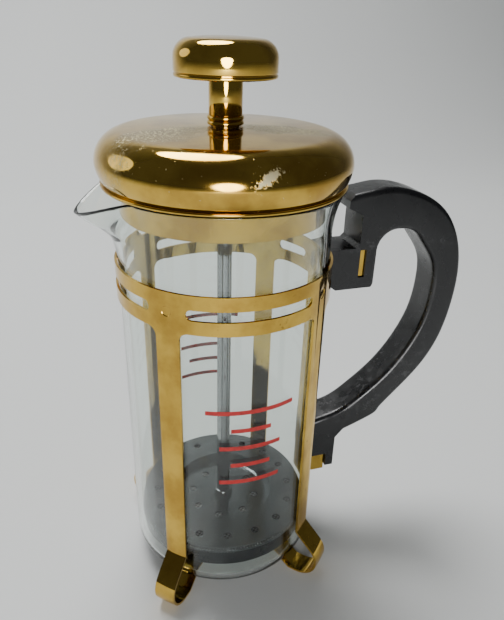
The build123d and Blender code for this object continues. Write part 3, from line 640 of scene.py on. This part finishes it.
class COFFEE_OT_level_marks(bpy.types.Operator):
    """Print plain level marks on both sides of the beaker"""
    bl_idname = "coffee.level_marks"
    bl_label = "Level Marks"

    def execute(self, context):
        settings = context.scene.coffee_glass
        radius = settings.radius + 0.02 * MM
        shape = bmesh.new()
        for side in (-90, 90):
            for height, share in MARKS:
                half = share * settings.mark_width / radius / 2
                turned = Matrix.Rotation(math.radians(side) - half, 3, "Z")
                ends = [shape.verts.new(turned @ Vector((radius, 0, height * MM + lift)))
                        for lift in (0, settings.mark_height)]
                edge = shape.edges.new(ends)
                bmesh.ops.spin(shape, geom=ends + [edge], cent=(0, 0, 0), axis=(0, 0, 1),
                               dvec=(0, 0, 0), angle=2 * half, steps=max(6, round(24 * share)),
                               use_merge=False, use_duplicate=False)
        bmesh.ops.recalc_face_normals(shape, faces=shape.faces[:])
        add_piece("level_marks", shape, "beaker", "glass", "enamel")
        return {"FINISHED"}


# ---- lid --------------------------------------------------------------------------------------

class COFFEE_OT_lid(bpy.types.Operator):
    """Build the pressed dome, its skirt, the neck and the neck's ferrule"""
    bl_idname = "coffee.lid"
    bl_label = "Lid"

    def execute(self, context):
        low, high, wide = DOME_LOW.z, DOME_HIGH.z, DOME_HIGH.x
        bore = NECK_HIGH.x - BORE_LAP
        dome = rounded_wire([
            (bore, high - 0.2 * MM, 0), (9 * MM, high - 0.45 * MM, 2 * MM),
            (wide, high - 1.5 * MM, 8.6 * MM), (wide, low + 3.6 * MM, 3.2 * MM),
            (wide - 2.1 * MM, low, 0)])
        piece = add_piece("lid_dome_shell", turn(dome, 160), "lid", "gold_plate", "gold_lid",
                          ["lid_dome"])
        add_wall(piece, SHEET)
        soften(piece, 0.15 * MM)
        self.skirt()
        self.neck()
        return {"FINISHED"}

    def skirt(self):
        """Flange on the rim, with a step to the skirt inside the beaker."""
        low, high, wide = SKIRT_LOW.z, SKIRT_HIGH.z, SKIRT_HIGH.x
        bore = NECK_HIGH.x - BORE_LAP
        under = high - SHEET
        inside = SKIRT_R - SHEET
        line = rounded_wire([
            (bore, high, 0), (wide, high, 0.3 * MM), (wide, under, 0.3 * MM),
            (SKIRT_R, under, 0.5 * MM), (SKIRT_R, low, 0.25 * MM), (inside, low, 0.25 * MM),
            (inside, under, 0.5 * MM), (bore, under, 0)], closed=True)
        add_piece("lid_skirt_pressing", turn(line, 128), "lid", "gold_plate",
                  stands_for=["lid_skirt"])

    def neck(self):
        """Plated tube with a rounded mouth, standing in a beaded ferrule."""
        radius, low, top = NECK_HIGH.x, NECK_LOW.z, NECK_HIGH.z
        seat = FERRULE_HIGH.z
        spigot = radius - SPIGOT_STEP
        line = rounded_wire([
            (NECK_BORE, low, 0), (spigot, low, 0.3 * MM), (spigot, seat, 0),
            (radius, seat, 0.2 * MM), (radius, top, 0.7 * MM),
            (NECK_BORE + 1.1 * MM, top, 0.2 * MM), (NECK_BORE, top - 0.5 * MM, 0)],
            closed=True)
        add_piece("neck_tube_plated", turn(line, 64), "lid", "gold_plate",
                  stands_for=["neck_tube"])
        foot, wide = FERRULE_LOW.z, FERRULE_HIGH.x
        half = foot + (seat - foot) / 2
        inside = spigot + 0.15 * MM
        bead = rounded_wire([
            (inside, foot, 0), (wide, foot, 0.5 * MM), (wide, half - 0.1 * MM, 0.5 * MM),
            (radius, half, 0), (wide, half + 0.1 * MM, 0.5 * MM), (wide, seat, 0.5 * MM),
            (inside, seat, 0)], closed=True)
        add_piece("neck_ferrule_bead", turn(bead, 64), "lid", "gold_plate",
                  stands_for=["neck_ferrule"])


class COFFEE_OT_knob(bpy.types.Operator):
    """Build the pressed knob with its crowned top and rolled seam"""
    bl_idname = "coffee.knob"
    bl_label = "Knob"

    def execute(self, context):
        low, top, radius = KNOB_LOW.z, KNOB_HIGH.z, KNOB_HIGH.x
        groove, inside = radius - 0.25 * MM, radius - SHEET
        line = rounded_wire([
            (0, top, 0), (7 * MM, top - 0.15 * MM, 3 * MM), (radius, top - 1.1 * MM, 4.6 * MM),
            (radius, low + 1.5 * MM, 0.1 * MM), (groove, low + 1.3 * MM, 0),
            (groove, low + 1.1 * MM, 0), (radius, low + 0.9 * MM, 0.15 * MM),
            (radius, low, 0.35 * MM), (inside, low, 0.1 * MM),
            (inside, top - 6.4 * MM, 0), (radius - 5 * MM, top - 2.2 * MM, 2 * MM),
            (0, top - 1.4 * MM, 0)])
        add_piece("knob_shell", turn(line, 128), "knob", "gold_plate", stands_for=["knob_cap"])
        return {"FINISHED"}


# ---- frame and handle -------------------------------------------------------------------------

class COFFEE_OT_frame(bpy.types.Operator):
    """Soften the cut edges of the pressed frame and of the handle's pocket"""
    bl_idname = "coffee.frame"
    bl_label = "Frame"

    def execute(self, context):
        edge = context.scene.coffee_metal.edge
        for node, name in (("frame", "frame_sheet"), ("handle_bracket", "bracket_pocket")):
            piece = add_piece(name, copy_of(node), "frame_body", "gold_plate", "gold_frame",
                              [node], CREASE)
            soften(piece, edge, angle=CREASE)
        return {"FINISHED"}


class COFFEE_OT_handle(bpy.types.Operator):
    """Soften the moulded handle's edges"""
    bl_idname = "coffee.handle"
    bl_label = "Handle"

    def execute(self, context):
        piece = add_piece("handle_moulding", copy_of("handle"), "frame_body", "black_plastic",
                          stands_for=["handle"], crease=CREASE)
        soften(piece, context.scene.coffee_handle.edge, 3, CREASE)
        dress("handle_screw", "gold_plate")
        dress("handle_nut", "gold_plate")
        return {"FINISHED"}


# ---- plunger ----------------------------------------------------------------------------------

class COFFEE_OT_filter(bpy.types.Operator):
    """Wind the edge spring and dress the filter's plates"""
    bl_idname = "coffee.filter"
    bl_label = "Filter"

    def execute(self, context):
        settings = context.scene.coffee_metal
        wire = settings.wire / 2
        middle = (SPRING_LOW.z + SPRING_HIGH.z) / 2
        coil = (SPRING_HIGH.z - SPRING_LOW.z) / 2 - wire
        ring = SPRING_HIGH.x - wire - coil
        count = settings.turns * 8
        line = bpy.data.curves.new("spring_line", "CURVE")
        line.dimensions = "3D"
        line.bevel_depth = wire
        line.bevel_resolution = 1
        spline = line.splines.new("POLY")
        spline.points.add(count - 1)
        for index, point in enumerate(spline.points):
            around = math.tau * index / count
            turned = around * settings.turns
            radius = ring + coil * math.cos(turned)
            point.co = (radius * math.cos(around), radius * math.sin(around),
                        middle + coil * math.sin(turned), 1)
        spline.use_cyclic_u = True
        holder = bpy.data.objects.new("spring_line", line)
        shape = bmesh.new()
        shape.from_mesh(bpy.data.meshes.new_from_object(holder))
        bpy.data.objects.remove(holder)
        add_piece("spring_turns", shape, "filter", "steel", stands_for=["edge_spring"],
                  crease=70)
        for node in ("spiral_plate", "filter_nut"):
            dress(node, "steel")
        # The cross plate gets the near-black steel, painted shade for the shade under the
        # filter's edge.
        dress("cross_plate", "steel_rim")
        dress("mesh_screen", "steel_mesh")
        return {"FINISHED"}


class COFFEE_OT_plunger(bpy.types.Operator):
    """Dress the rod and the small parts that it carries and runs in"""
    bl_idname = "coffee.plunger"
    bl_label = "Plunger"

    def execute(self, context):
        dress("plunger_rod", "chrome")
        for node in ("lid_washer", "lid_nut", "lid_spacer", "knob_insert"):
            dress(node, "steel")
        dress("guide_bush", "nylon")
        dress("knob_base", "gold_plate")
        low, high, radius = COLLAR_LOW.z, COLLAR_HIGH.z, COLLAR_HIGH.x
        bore = ROD_HIGH.x
        line = rounded_wire([
            (bore, low, 0), (radius, low, 0.3 * MM), (radius, high, 0.7 * MM),
            (bore, high, 0.2 * MM)], closed=True)
        add_piece("rod_collar_ring", turn(line, 48), "plunger", "chrome",
                  stands_for=["rod_collar"])
        return {"FINISHED"}


# ---- stage ------------------------------------------------------------------------------------

class COFFEE_OT_stage(bpy.types.Operator):
    """Lay the floor, hang the soft lights and set the camera"""
    bl_idname = "coffee.stage"
    bl_label = "Stage"

    def execute(self, context):
        settings = context.scene.coffee_stage
        self.floor(context, settings.floor_size)
        for name, (where, size, share) in LAMPS.items():
            self.light(name, where, size, settings.key_power * share)
        world = bpy.data.worlds.new("studio")
        world.use_nodes = True
        air = world.node_tree.nodes["Background"]
        air.inputs["Color"].default_value = colour("#D5DADC")
        air.inputs["Strength"].default_value = 0.12
        context.scene.world = world
        self.camera(context)
        return {"FINISHED"}

    def floor(self, context, size):
        """A pale board that curves up into a wall behind the object."""
        shape = bmesh.new()
        half = size / 2
        line = [shape.verts.new(spot) for spot in
                ((-half, -half, 0), (-half, WALL_BACK, 0), (-half, WALL_BACK, half))]
        for pair in zip(line, line[1:]):
            shape.edges.new(pair)
        bmesh.ops.bevel(shape, geom=[line[1]], offset=WALL_BEND, affect="VERTICES",
                        segments=24, profile=0.5, material=-1)
        grown = bmesh.ops.extrude_edge_only(shape, edges=shape.edges[:])
        verts = [item for item in grown["geom"] if isinstance(item, bmesh.types.BMVert)]
        bmesh.ops.translate(shape, verts=verts, vec=(size, 0, 0))
        bmesh.ops.recalc_face_normals(shape, faces=shape.faces[:])
        mesh = bpy.data.meshes.new("floor")
        shape.to_mesh(mesh)
        shape.free()
        mesh.shade_smooth()
        mesh.materials.append(finish_for("floor"))
        ground = bpy.data.objects.new("floor", mesh)
        context.scene.collection.objects.link(ground)

    def light(self, name, where, size, power):
        """A round soft lamp aimed at the middle of the object."""
        lamp = bpy.data.lights.new(name, "AREA")
        lamp.shape = "DISK"
        lamp.size = size
        lamp.energy = power
        holder = bpy.data.objects.new(name, lamp)
        holder.location = where
        aim = AIM - Vector(where)
        holder.rotation_euler = aim.to_track_quat("-Z", "Y").to_euler()
        bpy.context.scene.collection.objects.link(holder)

    def camera(self, context):
        """A near camera a little above the lid, looking down at the spout's side."""
        lens = bpy.data.cameras.new("camera")
        lens.lens = 34.22
        lens.sensor_width = 36.0
        lens.clip_start = 0.01
        holder = bpy.data.objects.new("camera", lens)
        heading, tilt, roll = (math.radians(angle) for angle in CAMERA_TURN)
        turned = (Matrix.Rotation(heading, 4, "Z") @ Matrix.Rotation(tilt, 4, "X")
                  @ Matrix.Rotation(roll, 4, "Z"))
        holder.matrix_world = Matrix.Translation(CAMERA_PLACE) @ turned
        context.scene.collection.objects.link(holder)
        context.scene.camera = holder


# ---- panel ------------------------------------------------------------------------------------

class COFFEE_PT_panel(bpy.types.Panel):
    """Buttons and sizes of the coffee maker"""
    bl_idname = "COFFEE_PT_panel"
    bl_label = "Coffee Maker"
    bl_space_type = "VIEW_3D"
    bl_region_type = "UI"
    bl_category = "Coffee Maker"

    def draw(self, context):
        for group in ("coffee_glass", "coffee_metal", "coffee_handle", "coffee_stage"):
            settings = getattr(context.scene, group)
            for name in settings.__annotations__:
                self.layout.prop(settings, name)
        for operator in OPERATORS:
            self.layout.operator(operator.bl_idname)


SETTINGS = {
    "coffee_glass": GlassSettings,
    "coffee_metal": MetalSettings,
    "coffee_handle": HandleSettings,
    "coffee_stage": StageSettings,
}
OPERATORS = (COFFEE_OT_beaker, COFFEE_OT_level_marks, COFFEE_OT_lid, COFFEE_OT_knob,
             COFFEE_OT_frame, COFFEE_OT_handle, COFFEE_OT_filter, COFFEE_OT_plunger,
             COFFEE_OT_stage)


def register():
    for group, settings in SETTINGS.items():
        bpy.utils.register_class(settings)
        setattr(bpy.types.Scene, group, bpy.props.PointerProperty(type=settings))
    for operator in OPERATORS:
        bpy.utils.register_class(operator)
    bpy.utils.register_class(COFFEE_PT_panel)


def unregister():
    bpy.utils.unregister_class(COFFEE_PT_panel)
    for operator in reversed(OPERATORS):
        bpy.utils.unregister_class(operator)
    for group, settings in SETTINGS.items():
        delattr(bpy.types.Scene, group)
        bpy.utils.unregister_class(settings)


def main():
    register()
    bpy.ops.coffee.beaker()
    bpy.ops.coffee.level_marks()
    bpy.ops.coffee.lid()
    bpy.ops.coffee.knob()
    bpy.ops.coffee.frame()
    bpy.ops.coffee.handle()
    bpy.ops.coffee.filter()
    bpy.ops.coffee.plunger()
    bpy.ops.coffee.stage()


if __name__ == "__main__":
    main()
